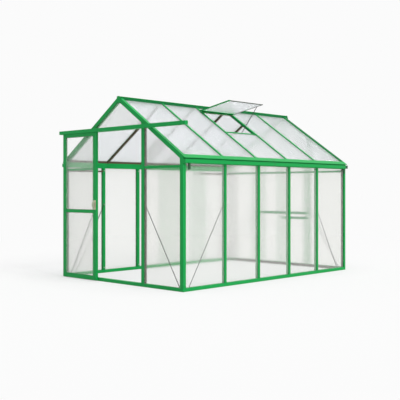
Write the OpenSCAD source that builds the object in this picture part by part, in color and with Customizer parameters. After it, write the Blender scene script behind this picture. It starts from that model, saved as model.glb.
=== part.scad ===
// Hobby greenhouse: a green aluminium frame of grooved bars on a base ring, glazed with twin-wall
// polycarbonate sheets, with a top-hung sliding door in the front gable and one roof vent held open.
// +Z is up, X runs across the gables, Y runs along the ridge, and the door gable faces -Y.
// The origin is on the ground, in the middle of the whole outline.

/* [House] */
// Width over the side walls
house_w = 2120; // [1900:10:2600]
// Length over the gables
house_l = 3120; // [2700:10:4200]
// Height of the underside of the head beams
wall_h = 1365; // [1200:5:1600]
// Height of a head beam's outer face, up to the roof plane
head_h = 80; // [76:1:110]
// Slope of the roof, in degrees
roof_angle = 34.2; // [31:0.1:38]

/* [Frame bars] */
// Height of the base ring
base_h = 38; // [30:1:60]
// Thickness of the side walls' bars, through the wall
side_d = 52; // [46:1:70]
// Thickness of the gables' bars, through the gable
gable_d = 42; // [38:1:60]
// Radius of the corner posts' and the base ring's outer corners
corner_r = 10; // [4:1:16]
// Face width of a stud
stud_w = 37; // [24:1:50]
// Distance from stud to stud
stud_pitch = 595.5; // [500:0.5:620]
// Number of studs in a side wall
studs = 4; // [2:1:6]
// How far the right wall's studs stand to the rear of the roof bars
right_stud_step = 15; // [0:1:40]
// How far the left wall's studs stand to the front of the roof bars
left_stud_step = 60; // [0:1:90]
// Distance from the head beams' underside down to the gable rails' lower edge
gable_rail_down = 43; // [40:1:200]
// Face height of the gable rails
gable_rail_h = 26; // [20:1:36]
// Distance from the head beams' underside down to the lower edge of the left wall's ties
tie_down = 51; // [40:1:200]
// Face height of these ties
tie_h = 20; // [12:1:30]
// Thickness of a gable rafter, square to the slope
rafter_t = 48; // [44:1:60]
// Thickness of a roof bar, square to the slope
roof_bar_t = 32; // [26:1:40]
// How far the roof bars' tops lie below the rafters'
roof_bar_down = 6; // [0:1:10]
// Face width of a roof bar
roof_bar_w = 28; // [22:1:40]

/* [Ridge] */
// Half width of the ridge beam's web
ridge_web = 26; // [22:1:30]
// Half width of the cap on top of the web
ridge_cap = 33; // [31:1:40]
// Height of the cap's top above the place where the web leaves the roof plane
ridge_cap_up = 15; // [10:1:24]
// Thickness of the cap
ridge_cap_t = 6; // [3:1:8]
// Distance from the middle of the ridge to the edge of its skirt
ridge_skirt = 37; // [33:1:60]
// Length of the ridge beyond the rear gable
ridge_over = 60; // [20:1:90]
// Thickness of the ridge's end plates
ridge_plate_t = 4; // [3:1:8]
// Height of an end plate above the cap
ridge_plate_up = 6; // [3:1:12]
// Half width of an end plate at its top
ridge_plate_top = 19; // [12:1:30]
// Half width of an end plate at its foot
ridge_plate_foot = 46; // [34:1:60]

/* [Glazing] */
// Thickness of the sheets
sheet_t = 6; // [4:1:10]
// Depth of the side walls' sheets behind the bars' outer faces
side_recess = 17; // [12:1:26]
// Depth of the gables' sheets behind the bars' outer faces
gable_recess = 5; // [3:1:20]
// Depth of the door's sheets behind the leaf's outer face
leaf_recess = 3; // [2:1:12]
// Depth of the roof sheets below the roof plane, square to the slope
roof_recess = 14; // [10:1:18]
// Depth of the grooves that hold the sheets' edges
grip = 8; // [5:1:10]
// Play under the roof sheets' lower edges
seat_play = 0.1; // [0.1:0.1:0.5]

/* [Gutters] */
// Width of a gutter
gutter_w = 33; // [28:1:60]
// Height of a gutter
gutter_h = 42; // [34:1:50]
// Height of a gutter's floor above the wall's top
gutter_up = 6; // [2:1:10]
// Thickness of the gutter's wall
gutter_t = 2.5; // [2:0.5:4]
// Reach of the roof's lower edge over the gutter
eave_reach = 22; // [14:1:24]
// Thickness of that edge
eave_lip_t = 5; // [3:0.5:8]
// Width of the sloping strip from the wall's outer face up to the sheets
eave_strip = 32; // [14:1:40]
// Outer diameter of a spout
spout_d = 27; // [24:1:27]
// Bore of a spout
spout_bore = 22; // [16:1:22]
// Length of a spout below its gutter
spout_drop = 70; // [40:1:120]
// Distance from a gable's face to a spout's axis
spout_in = 76; // [40:1:150]

/* [Gable posts] */
// Clear width of the doorway, with both jambs at the same distance from the middle
door_w = 786; // [660:2:900]
// How far the left jamb stands beyond the right jamb's mirror image
left_jamb_step = 34; // [0:1:60]
// Face width of a door jamb
jamb_w = 50; // [40:1:70]
// Height of the left jamb between the track's top and the rafter
door_head_gap = 3.9; // [2:0.1:200]
// Distance between the axes of the rear posts
rear_posts_w = 884; // [700:2:1100]
// Face width of the rear gable's middle bar
rear_middle_w = 24; // [18:1:35]
// Height of the rear middle rail's lower edge
rear_mid_z = 737; // [600:1:1000]
// Height of the short rear rail's lower edge
rear_low_z = 666; // [450:1:690]
// Face height of both of these rails
rear_rail_h = 35; // [20:1:45]

/* [Braces] */
// Height of a side brace's lower end
brace_z0 = 55; // [50:1:200]
// Height of a gable brace's lower end above a side brace's, so that they pass
brace_step = 30; // [26:1:60]
// Height of a brace's upper end
brace_z1 = 917; // [600:1:1200]
// Width of a brace
brace_w = 14; // [10:1:25]
// Thickness of a brace
brace_t = 3; // [2:0.5:5]
// Lap of a brace's upper end on its stud or post
brace_lap = 20; // [12:1:30]
// Lap of a brace's lower end on its corner post
brace_foot_lap = 10; // [6:1:11]

/* [Roof vent] */
// Distance from the middle of the ridge to the lower edge of the vent's head rail
vent_head_x = 135; // [90:1:160]
// Distance from the middle of the ridge to the sill's upper edge
sill_x = 530; // [450:1:700]
// Face width of the sill and of the head rail
sill_w = 20; // [18:1:40]
// Depth of the sill and of the head rail
vent_rail_t = 24; // [22:1:34]
// Overlap of the closed leaf on the sill
vent_shut = 8; // [2:1:20]
// Overlap of the leaf on each roof bar, past the bar's middle
vent_lap = 31; // [4:1:40]
// Angle of the open leaf above level
vent_rise = 10.5; // [4:0.5:16]
// Face width of the leaf's frame bars
vent_bar_w = 24; // [18:1:36]
// Thickness of the leaf's frame bars
vent_bar_t = 12; // [10:1:20]
// Diameter of the leaf's hinge barrel
vent_barrel_d = 12; // [10:1:16]
// Diameter of the stay
stay_d = 8; // [6:1:12]
// Distance from the leaf's free edge back to the stay's upper end
stay_back = 95; // [40:1:200]

/* [Door track] */
// Reach of the track to the left of the middle of the gable
track_left = 1090; // [1000:5:1300]
// Reach of the track to the right of the middle of the gable
track_right = 1130; // [1120:5:1400]
// Height of the track
track_h = 42; // [38:1:60]
// Depth of the track in front of the gable
track_d = 48; // [46:1:70]
// Thickness of the track's wall
track_t = 4; // [3:0.5:5]
// Width of the slot in the track's underside
track_slot = 16; // [12:1:18]
// Distance of a rubber stop from the track's end
stop_in = 65; // [20:1:90]
// Length of a rubber stop
stop_l = 15; // [10:1:40]
// Gap between a stop and the wheel that it stops
stop_gap = 6; // [5:1:20]

/* [Sliding door] */
// Width of the leaf
leaf_w = 656; // [560:1:700]
// Thickness of the leaf
leaf_t = 26; // [24:1:34]
// Gap under the leaf
leaf_gap = 8; // [6:1:20]
// Gap between the leaf and the track
leaf_top_gap = 6; // [5:1:10]
// Face width of the leaf's stiles
stile_w = 55; // [40:1:70]
// Face height of the leaf's top rail and middle rail
leaf_rail_h = 41; // [30:1:60]
// Face height of the leaf's bottom rail
leaf_foot_h = 53; // [40:1:80]
// Height of the leaf's middle rail
leaf_mid_z = 806; // [700:1:1000]

/* [Door fittings] */
// Distance of a hanger from the leaf's edge
hanger_in = 30; // [25:1:80]
// Diameter of the hangers' wheels
wheel_d = 24; // [18:1:26]
// Thickness of the wheels
wheel_t = 8; // [5:1:10]
// Diameter of the wheels' axle
axle_d = 6; // [5:1:8]
// Thickness of the hanger plate
hanger_t = 4; // [3:1:6]
// Width of the hanger plate
hanger_w = 30; // [20:1:50]
// Gap between a wheel and the track
wheel_gap = 0.3; // [0.2:0.1:0.5]
// Width of the handle's plate
handle_w = 43; // [30:1:50]
// Height of the handle
handle_h = 110; // [80:1:160]
// Distance of the handle above the leaf's middle rail
handle_up = 3; // [0:1:200]
// Thickness of the handle's plate
handle_plate_t = 5; // [3:1:8]
// Distance of the grip from the plate
grip_gap = 14; // [10:1:40]
// Depth and width of the grip
grip_bar = 12; // [10:1:20]
// Height of each foot of the grip
grip_foot = 12; // [10:1:24]

/* [Hidden] */
$fn = 32;
hw = house_w / 2;
hl = house_l / 2;
fall = tan(roof_angle);
eave_z = wall_h + head_h;
apex_z = eave_z + hw * fall;
post_x = hw - side_d;
post_y = hl - gable_d;
jamb_in = door_w / 2;
jamb_out = jamb_in + jamb_w;
left_jamb_in = jamb_in + left_jamb_step;
left_jamb_out = left_jamb_in + jamb_w;
track_top = rafter_low(left_jamb_in) - door_head_gap;
door_h = track_top - track_h;
rear_post_in = (rear_posts_w - stud_w) / 2;
rear_post_out = rear_post_in + stud_w;
rear_mid_half = rear_middle_w / 2;
gable_rail_z = wall_h - gable_rail_down;
tie_z = wall_h - tie_down;
rail_top = gable_rail_z + gable_rail_h;
sheet_x = hw - side_recess - sheet_t;
sheet_y = hl - gable_recess - sheet_t;
seat_x = hw - eave_strip;
seat_down = drop(roof_recess + sheet_t) + seat_play;
sill_low_x = sill_x + sill_w * cos(roof_angle);
vent_head_up = vent_head_x - sill_w * cos(roof_angle);
ridge_end = hl + ridge_over;
ridge_top = roof_z(ridge_web) + ridge_cap_up;
gutter_z = wall_h + gutter_up;
spout_x = hw + gutter_w / 2;
spout_y = hl - spout_in;
track_y = -hl - track_d;
track_mid_y = -hl - track_d / 2;
leaf_y = track_mid_y - leaf_t / 2;
leaf_top = door_h - leaf_top_gap;
wheel_z = door_h + track_t + wheel_gap + wheel_d / 2;
// Places of the two stops, and of the wheels' axes and the leaf's edges when the leaf is open
stop_x = [-track_left + stop_in, track_right - stop_in - stop_l];
wheel_clear = stop_gap + wheel_d / 2;
leaf_x0 = stop_x[0] + stop_l + wheel_clear - hanger_in;
leaf_x1 = leaf_x0 + leaf_w;
hanger_x = [leaf_x0 + hanger_in, leaf_x1 - hanger_in];
handle_x = leaf_x1 - stile_w / 2;
handle_y = leaf_y - handle_plate_t;
grip_y = handle_y - grip_gap - grip_bar;
vent_bay = floor(studs / 2);
vent_mid_y = (bay_low(vent_bay, 0) + bay_high(vent_bay, 0)) / 2;
vent_y = stud_pitch / 2 + vent_lap;
vent_low = -vent_barrel_d / 2;
vent_x = vent_head_x - vent_barrel_d / 2;
vent_z = roof_z(vent_x) + vent_barrel_d / 2 / cos(roof_angle);
vent_l = (sill_x + vent_shut - vent_x) / cos(roof_angle);
// The whole outline, which the origin is centred on
mid_x = (max(track_right, hw + gutter_w) - max(track_left, hw + gutter_w)) / 2;
mid_y = (ridge_end + ridge_plate_t + grip_y) / 2;

// Height of the roof plane over a place across the house
function roof_z(x) = apex_z - abs(x) * fall;
// Vertical depth of something that is t thick square to the slope
function drop(t) = t / cos(roof_angle);
// Middle of each bar along the house, where all of them stand a step to the rear
function bar_y(i, step = 0) = (i - (studs - 1) / 2) * stud_pitch + step;
// The two ends of a bay between such bars w wide
function bay_low(i, w, step = 0) = i == 0 ? -post_y : bar_y(i - 1, step) + w / 2;
function bay_high(i, w, step = 0) = i == studs ? post_y : bar_y(i, step) - w / 2;
// Height of the underside of a gable rafter
function rafter_low(x) = roof_z(x) - drop(rafter_t);

// Centres the whole outline on the origin
module place() {
    translate([-mid_x, -mid_y, 0]) children();
}

// A block from its lowest corner to its highest
module block(low, high) {
    translate(low) cube(high - low);
}

// Extrudes an outline across the house, drawn in x and z, from y0 to y1
module across(y0, y1) {
    translate([0, y1, 0]) rotate([90, 0, 0]) linear_extrude(y1 - y0) children();
}

module both_sides() {
    children();
    mirror([1, 0, 0]) children();
}

// ---- glazing sheets, which also cut the grooves of the bars that hold them ----

module side_sheets(step) {
    for (i = [0:studs]) {
        block([sheet_x, bay_low(i, stud_w, step) - grip, base_h - grip],
              [sheet_x + sheet_t, bay_high(i, stud_w, step) + grip, wall_h + grip]);
    }
}

module left_side_sheets() {
    mirror([1, 0, 0]) side_sheets(-left_stud_step);
}

module right_side_sheets() {
    side_sheets(right_stud_step);
}

// Sheets beside a gable post, below and above the gable rail, on the right side
module gable_side_sheets(post_out) {
    polygon([[post_out - grip, base_h - grip], [post_x + grip, base_h - grip],
             [post_x + grip, gable_rail_z + grip], [post_out - grip, gable_rail_z + grip]]);
    polygon([[post_out - grip, rail_top - grip], [post_x + grip, rail_top - grip],
             [post_x + grip, rafter_low(post_x + grip) + drop(grip)],
             [post_out - grip, rafter_low(post_out - grip) + drop(grip)]]);
}

module front_gable_sheets() {
    across(-sheet_y - sheet_t, -sheet_y) {
        gable_side_sheets(jamb_out);
        mirror([1, 0]) gable_side_sheets(left_jamb_out);
        door_gable_sheet();
    }
}

// The sheet over the doorway
module door_gable_sheet() {
    left = left_jamb_in + grip;
    right = jamb_in + grip;
    polygon([[-left, track_top - grip], [right, track_top - grip],
             [right, rafter_low(right) + drop(grip)],
             [ridge_web, rafter_low(ridge_web) + drop(grip)],
             [-ridge_web, rafter_low(ridge_web) + drop(grip)],
             [-left, rafter_low(left) + drop(grip)]]);
}

// The three sheets between the rear middle bar and the right rear post
module rear_middle_sheets() {
    x0 = rear_mid_half - grip;
    x1 = rear_post_in + grip;
    polygon([[x0, base_h - grip], [x1, base_h - grip], [x1, rear_mid_z + grip], [x0, rear_mid_z + grip]]);
    polygon([[x0, rear_mid_z + rear_rail_h - grip], [x1, rear_mid_z + rear_rail_h - grip],
             [x1, gable_rail_z + grip], [x0, gable_rail_z + grip]]);
    polygon([[x0, rail_top - grip], [x1, rail_top - grip],
             [x1, rafter_low(x1) + drop(grip)], [ridge_web, rafter_low(ridge_web) + drop(grip)],
             [x0, rafter_low(ridge_web) + drop(grip)]]);
}

module rear_gable_sheets() {
    across(sheet_y, sheet_y + sheet_t) both_sides() {
        gable_side_sheets(rear_post_out);
        rear_middle_sheets();
    }
}

// Outline of a roof sheet that runs from x0 down to x1
module roof_sheet_outline(x0, x1) {
    top = drop(roof_recess);
    low = drop(roof_recess + sheet_t);
    polygon([[x0, roof_z(x0) - top], [x1, roof_z(x1) - top], [x1, roof_z(x1) - low], [x0, roof_z(x0) - low]]);
}

// One slope's sheets; a vent's bay has one above its head rail and one below its sill
module roof_slope_sheets(vent) {
    for (i = [0:studs]) {
        across(bay_low(i, roof_bar_w) - grip, bay_high(i, roof_bar_w) + grip) {
            if (vent && i == floor(studs / 2)) {
                roof_sheet_outline(ridge_web, vent_head_up + grip);
                roof_sheet_outline(sill_low_x - grip, seat_x);
            } else {
                roof_sheet_outline(ridge_web, seat_x);
            }
        }
    }
}

// Cuts the wall sheets' grooves
module wall_grooved() {
    difference() {
        children();
        left_side_sheets();
        right_side_sheets();
        front_gable_sheets();
        rear_gable_sheets();
    }
}

// Cuts the roof sheets' grooves
module roof_grooved() {
    difference() {
        children();
        roof_slope_sheets(true);
        mirror([1, 0, 0]) roof_slope_sheets(false);
    }
}

module wall_sheets_left() {
    color([0.90, 0.92, 0.90, 0.6]) place() left_side_sheets();
}

module wall_sheets_right() {
    color([0.90, 0.92, 0.90, 0.6]) place() right_side_sheets();
}

module front_sheets() {
    color([0.90, 0.92, 0.90, 0.6]) place() front_gable_sheets();
}

module rear_sheets() {
    color([0.90, 0.92, 0.90, 0.6]) place() rear_gable_sheets();
}

module roof_sheets_left() {
    color([0.86, 0.88, 0.89, 0.6]) place() mirror([1, 0, 0]) roof_slope_sheets(false);
}

module roof_sheets_right() {
    color([0.86, 0.88, 0.89, 0.6]) place() roof_slope_sheets(true);
}

// ---- base ring and wall frame ----

// Plan of a gable's bar from x0 to the right corner, which is rounded on the outside
module corner_plan(x0) {
    translate([x0, corner_r - hl]) square([hw - x0, gable_d - corner_r]);
    translate([x0, -hl]) square([hw - corner_r - x0, gable_d]);
    translate([hw - corner_r, corner_r - hl]) circle(corner_r);
}

module gable_base() {
    both_sides() linear_extrude(base_h) corner_plan(0);
}

module base_front() {
    color("seagreen") place() wall_grooved() gable_base();
}

module base_rear() {
    color("seagreen") place() wall_grooved() mirror([0, 1, 0]) gable_base();
}

module side_base() {
    block([post_x, -post_y, 0], [hw, post_y, base_h]);
}

module base_left() {
    color("seagreen") place() wall_grooved() mirror([1, 0, 0]) side_base();
}

module base_right() {
    color("seagreen") place() wall_grooved() side_base();
}

module corner_posts() {
    color("seagreen") place() wall_grooved() both_sides() for (gable = [0, 1]) {
        mirror([0, gable, 0]) translate([0, 0, base_h]) linear_extrude(wall_h - base_h) corner_plan(post_x);
    }
}

module side_studs(step) {
    for (i = [0:studs - 1]) {
        block([post_x, bay_high(i, stud_w, step), base_h], [hw, bay_low(i + 1, stud_w, step), wall_h]);
    }
}

module studs_left() {
    color("seagreen") place() wall_grooved() mirror([1, 0, 0]) side_studs(-left_stud_step);
}

module studs_right() {
    color("seagreen") place() wall_grooved() side_studs(right_stud_step);
}

// Two slim ties inside the left wall's sheets, one in each end bay
module ties_left() {
    color("seagreen") place() for (i = [0, studs]) {
        block([-sheet_x, bay_low(i, stud_w, -left_stud_step), tie_z],
              [-post_x, bay_high(i, stud_w, -left_stud_step), tie_z + tie_h]);
    }
}

// The head beam carries the roof bars on a sloping seat, and its lip sheds water into the gutter
module head_beam() {
    lip = drop(eave_lip_t);
    tip = hw + eave_reach;
    across(-hl, hl) polygon([
        [post_x, wall_h], [hw, wall_h], [hw, roof_z(hw) - lip], [tip, roof_z(tip) - lip], [tip, roof_z(tip)],
        [seat_x, roof_z(seat_x)], [seat_x, roof_z(seat_x) - seat_down], [post_x, roof_z(post_x) - seat_down]]);
}

module head_beam_left() {
    color("seagreen") place() wall_grooved() mirror([1, 0, 0]) head_beam();
}

module head_beam_right() {
    color("seagreen") place() wall_grooved() head_beam();
}

// ---- gutters ----

module gutter() {
    difference() {
        block([hw, -hl, gutter_z], [hw + gutter_w, hl, gutter_z + gutter_h]);
        block([hw + gutter_t, -hl + gutter_t, gutter_z + gutter_t],
              [hw + gutter_w - gutter_t, hl - gutter_t, gutter_z + gutter_h + 1]);
        for (y = [-spout_y, spout_y]) {
            translate([spout_x, y, gutter_z - 1]) cylinder(d = spout_bore, h = gutter_t + 2);
        }
    }
}

module gutter_left() {
    color("seagreen") place() mirror([1, 0, 0]) gutter();
}

module gutter_right() {
    color("seagreen") place() gutter();
}

module spout() {
    translate([0, 0, gutter_z - spout_drop]) difference() {
        cylinder(d = spout_d, h = spout_drop);
        translate([0, 0, -1]) cylinder(d = spout_bore, h = spout_drop + 2);
    }
}

module spouts() {
    color("darkgreen") place() both_sides() for (y = [-spout_y, spout_y]) {
        translate([spout_x, y, 0]) spout();
    }
}

// ---- roof frame ----

// The right half of a roof bar, between two depths below the roof plane: it sits on the head beam's
// seat and runs up under the ridge's skirt
module roof_bar_outline(top, low) {
    skirt = drop(roof_recess);
    polygon([
        [seat_x, roof_z(seat_x) - drop(top)], [seat_x, roof_z(seat_x) - seat_down],
        [post_x, roof_z(post_x) - seat_down], [post_x, roof_z(post_x) - drop(low)],
        [ridge_web, roof_z(ridge_web) - drop(low)], [ridge_web, roof_z(ridge_web) - skirt],
        [ridge_skirt, roof_z(ridge_skirt) - skirt], [ridge_skirt, roof_z(ridge_skirt) - drop(top)]]);
}

module roof_bars() {
    for (i = [0:studs - 1]) {
        across(bay_high(i, roof_bar_w), bay_low(i + 1, roof_bar_w)) {
            roof_bar_outline(roof_bar_down, roof_bar_down + roof_bar_t);
        }
    }
}

module roof_bars_left() {
    color("mediumseagreen") place() roof_grooved() mirror([1, 0, 0]) roof_bars();
}

module roof_bars_right() {
    color("mediumseagreen") place() roof_grooved() roof_bars();
}

module rafters() {
    both_sides() across(-hl, -post_y) roof_bar_outline(0, rafter_t);
}

module front_rafters() {
    color("seagreen") place() wall_grooved() roof_grooved() rafters();
}

module rear_rafters() {
    color("seagreen") place() wall_grooved() roof_grooved() mirror([0, 1, 0]) rafters();
}

// The right half of the ridge: a web between the bars, a skirt that laps the sheets and a flat cap
module ridge_half() {
    skirt = drop(roof_recess);
    polygon([
        [0, rafter_low(ridge_web)], [ridge_web, rafter_low(ridge_web)],
        [ridge_web, roof_z(ridge_web) - skirt], [ridge_skirt, roof_z(ridge_skirt) - skirt],
        [ridge_skirt, roof_z(ridge_skirt)], [ridge_web, roof_z(ridge_web)],
        [ridge_web, ridge_top - ridge_cap_t], [ridge_cap, ridge_top - ridge_cap_t],
        [ridge_cap, ridge_top], [0, ridge_top]]);
}

module ridge_beam() {
    color("seagreen") place() wall_grooved() roof_grooved() {
        across(-hl, ridge_end) {
            ridge_half();
            mirror([1, 0]) ridge_half();
        }
    }
}

module ridge_plate() {
    top = ridge_top + ridge_plate_up;
    low = rafter_low(ridge_web);
    polygon([[-ridge_plate_foot, low], [ridge_plate_foot, low], [ridge_plate_top, top], [-ridge_plate_top, top]]);
}

module ridge_plates() {
    color("seagreen") place() {
        across(-hl - ridge_plate_t, -hl) ridge_plate();
        across(ridge_end, ridge_end + ridge_plate_t) ridge_plate();
    }
}

// ---- front gable ----

// A gable post from the base ring up to the rafter
module gable_post(x0, x1) {
    across(-hl, -post_y) polygon([[x0, base_h], [x1, base_h], [x1, rafter_low(x1)], [x0, rafter_low(x0)]]);
}

module door_jambs() {
    color("seagreen") place() wall_grooved() {
        gable_post(jamb_in, jamb_out);
        mirror([1, 0, 0]) gable_post(left_jamb_in, left_jamb_out);
    }
}

module door_header() {
    color("seagreen") place() wall_grooved() {
        block([-left_jamb_in, -hl, door_h], [jamb_in, -post_y, track_top]);
    }
}

module front_rails() {
    color("seagreen") place() wall_grooved() {
        block([jamb_out, -hl, gable_rail_z], [post_x, -post_y, rail_top]);
        block([-post_x, -hl, gable_rail_z], [-left_jamb_out, -post_y, rail_top]);
    }
}

// ---- rear gable ----

module rear_posts() {
    color("seagreen") place() wall_grooved() mirror([0, 1, 0]) both_sides() {
        gable_post(rear_post_in, rear_post_out);
    }
}

module rear_middle_bar() {
    color("seagreen") place() wall_grooved() {
        block([-rear_mid_half, post_y, base_h], [rear_mid_half, hl, rafter_low(ridge_web)]);
    }
}

module rear_rails() {
    color("seagreen") place() wall_grooved() both_sides() {
        block([rear_post_out, post_y, gable_rail_z], [post_x, hl, rail_top]);
        block([rear_mid_half, post_y, gable_rail_z], [rear_post_in, hl, rail_top]);
        block([rear_mid_half, post_y, rear_mid_z], [rear_post_in, hl, rear_mid_z + rear_rail_h]);
    }
}

// The short rail lies behind the sheet, from the middle bar to the right post
module rear_low_rail() {
    color("seagreen") place() {
        block([rear_mid_half, post_y, rear_low_z], [rear_post_in, sheet_y, rear_low_z + rear_rail_h]);
    }
}

// ---- braces: flat strips on the frame's inner faces ----

// A strip between two ends, drawn in u and z
module strip(u0, z0, u1, z1) {
    polygon([[u0, z0], [u0, z0 + brace_w], [u1, z1], [u1, z1 - brace_w]]);
}

module side_braces(step) {
    translate([post_x - brace_t, 0, 0]) rotate([90, 0, 90]) linear_extrude(brace_t) {
        strip(-post_y - brace_foot_lap, brace_z0, bay_high(0, stud_w, step) + brace_lap, brace_z1);
        strip(post_y + brace_foot_lap, brace_z0, bay_low(studs, stud_w, step) - brace_lap, brace_z1);
    }
}

module braces_left() {
    color("silver") place() mirror([1, 0, 0]) side_braces(-left_stud_step);
}

module braces_right() {
    color("silver") place() side_braces(right_stud_step);
}

module gable_brace(post_out) {
    across(-post_y, -post_y + brace_t) {
        strip(post_x + brace_foot_lap, brace_z0 + brace_step, post_out - brace_lap, brace_z1);
    }
}

module braces_front() {
    color("silver") place() {
        gable_brace(jamb_out);
        mirror([1, 0, 0]) gable_brace(left_jamb_out);
    }
}

module braces_rear() {
    color("silver") place() mirror([0, 1, 0]) both_sides() gable_brace(rear_post_out);
}

// ---- roof vent, held open ----

// A short rail between the two roof bars beside the vent, from x0 down to x1
module vent_rail(x0, x1) {
    across(bay_low(vent_bay, roof_bar_w), bay_high(vent_bay, roof_bar_w)) polygon([
        [x0, roof_z(x0)], [x1, roof_z(x1)],
        [x1, roof_z(x1) - drop(vent_rail_t)], [x0, roof_z(x0) - drop(vent_rail_t)]]);
}

// The head rail that the leaf hinges on, and the sill that it closes on
module vent_rails() {
    color("mediumseagreen") place() roof_grooved() {
        vent_rail(vent_head_up, vent_head_x);
        vent_rail(sill_x, sill_low_x);
    }
}

// Puts something drawn on the leaf, with x from its hinge to its free edge, at the open leaf's place
module on_leaf() {
    translate([vent_x, vent_mid_y, vent_z]) rotate([0, -vent_rise, 0]) children();
}

module leaf_sheet() {
    edge = vent_bar_w - grip;
    low = vent_low + (vent_bar_t - sheet_t) / 2;
    block([edge, -vent_y + edge, low], [vent_l - edge, vent_y - edge, low + sheet_t]);
}

// The leaf's frame, with the barrel that it hinges on
module vent_frame() {
    top = vent_low + vent_bar_t;
    inner = vent_y - vent_bar_w;
    color("seagreen") place() on_leaf() difference() {
        union() {
            block([0, -vent_y, vent_low], [vent_l, vent_y, top]);
            rotate([90, 0, 0]) cylinder(d = vent_barrel_d, h = 2 * vent_y, center = true);
        }
        block([vent_bar_w, -inner, vent_low - 1], [vent_l - vent_bar_w, inner, top + 1]);
        leaf_sheet();
    }
}

module vent_sheet() {
    color([0.86, 0.88, 0.89, 0.6]) place() on_leaf() leaf_sheet();
}

// A thin rod from the middle of the sill up to the leaf's right bar
module vent_stay() {
    along = vent_l - stay_back;
    foot = [sill_x + stay_d, vent_mid_y, roof_z(sill_x + stay_d)];
    head = [vent_x + along * cos(vent_rise), vent_mid_y + vent_y - vent_bar_w / 2,
            vent_z + along * sin(vent_rise) + vent_low];
    way = head - foot;
    reach = norm(way);
    color("dimgray") place() difference() {
        translate(foot) rotate([0, acos(way[2] / reach), atan2(way[1], way[0])]) {
            translate([0, 0, -stay_d]) cylinder(d = stay_d, h = reach + 2 * stay_d);
        }
        // Both ends are cut to lie flat on the sill and under the leaf
        across(vent_mid_y - vent_y, vent_mid_y + vent_y) polygon([
            [vent_x, roof_z(vent_x)], [hw, roof_z(hw)], [hw, roof_z(hw) - vent_l], [vent_x, roof_z(hw) - vent_l]]);
        on_leaf() block([0, -vent_y, vent_low], [vent_l, vent_y, vent_bar_t * 3]);
    }
}

// ---- door track ----

module door_track() {
    mid = track_mid_y;
    color("seagreen") place() difference() {
        block([-track_left, track_y, door_h], [track_right, -hl, track_top]);
        block([-track_left + track_t, track_y + track_t, door_h + track_t],
              [track_right - track_t, -hl - track_t, track_top - track_t]);
        block([-track_left + track_t, mid - track_slot / 2, door_h - 1],
              [track_right - track_t, mid + track_slot / 2, door_h + track_t + 1]);
    }
}

module track_stop(x) {
    block([x, track_y + track_t, door_h + track_t], [x + stop_l, -hl - track_t, track_top - track_t]);
}

module track_stops() {
    color([0.15, 0.15, 0.15]) place() {
        track_stop(stop_x[0]);
        track_stop(stop_x[1]);
    }
}

// ---- sliding leaf ----

module leaf_glass() {
    y0 = leaf_y + leaf_recess;
    x0 = leaf_x0 + stile_w - grip;
    x1 = leaf_x1 - stile_w + grip;
    block([x0, y0, leaf_gap + leaf_foot_h - grip], [x1, y0 + sheet_t, leaf_mid_z + grip]);
    block([x0, y0, leaf_mid_z + leaf_rail_h - grip], [x1, y0 + sheet_t, leaf_top - leaf_rail_h + grip]);
}

module door_frame() {
    x0 = leaf_x0 + stile_w;
    x1 = leaf_x1 - stile_w;
    y0 = leaf_y;
    y1 = leaf_y + leaf_t;
    color("seagreen") place() difference() {
        block([leaf_x0, y0, leaf_gap], [leaf_x1, y1, leaf_top]);
        block([x0, y0 - 1, leaf_gap + leaf_foot_h], [x1, y1 + 1, leaf_mid_z]);
        block([x0, y0 - 1, leaf_mid_z + leaf_rail_h], [x1, y1 + 1, leaf_top - leaf_rail_h]);
        leaf_glass();
    }
}

module door_sheets() {
    color([0.90, 0.92, 0.90, 0.6]) place() leaf_glass();
}

module door_handle() {
    z0 = leaf_mid_z + leaf_rail_h + handle_up;
    z1 = z0 + handle_h;
    inner = [handle_x - grip_bar / 2, handle_y - grip_gap];
    color("tan") place() {
        block([handle_x - handle_w / 2, handle_y, z0], [handle_x + handle_w / 2, leaf_y, z1]);
        for (z = [z0 + grip_foot, z1 - 2 * grip_foot]) {
            block([inner[0], inner[1], z], [inner[0] + grip_bar, handle_y, z + grip_foot]);
        }
        block([inner[0], grip_y, z0 + grip_foot], [inner[0] + grip_bar, inner[1], z1 - grip_foot]);
    }
}

// A plate up through the slot with a wheel on each side of it
module hanger(x) {
    mid = track_mid_y;
    wheel_y = mid - track_slot / 2 - wheel_t - 1;
    block([x - hanger_w / 2, mid - hanger_t / 2, leaf_top], [x + hanger_w / 2, mid + hanger_t / 2, wheel_z + axle_d]);
    translate([x, 0, wheel_z]) rotate([-90, 0, 0]) {
        translate([0, 0, wheel_y]) cylinder(d = axle_d, h = 2 * (mid - wheel_y));
        translate([0, 0, wheel_y]) cylinder(d = wheel_d, h = wheel_t);
        translate([0, 0, 2 * mid - wheel_y - wheel_t]) cylinder(d = wheel_d, h = wheel_t);
    }
}

module door_hangers() {
    color("dimgray") place() for (x = hanger_x) hanger(x);
}

base_front();
base_rear();
base_left();
base_right();
corner_posts();
studs_left();
studs_right();
ties_left();
head_beam_left();
head_beam_right();
gutter_left();
gutter_right();
spouts();
ridge_beam();
ridge_plates();
front_rafters();
rear_rafters();
roof_bars_left();
roof_bars_right();
door_jambs();
door_header();
front_rails();
rear_posts();
rear_middle_bar();
rear_rails();
rear_low_rail();
braces_left();
braces_right();
braces_front();
braces_rear();
wall_sheets_left();
wall_sheets_right();
front_sheets();
rear_sheets();
roof_sheets_left();
roof_sheets_right();
vent_rails();
vent_frame();
vent_sheet();
vent_stay();
door_track();
track_stops();
door_frame();
door_sheets();
door_handle();
door_hangers();
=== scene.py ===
"""A hobby greenhouse: a green aluminium frame glazed with frosted twin-wall polycarbonate sheets."""

import math

import bmesh
import bpy
from mathutils import Matrix, Vector


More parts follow.
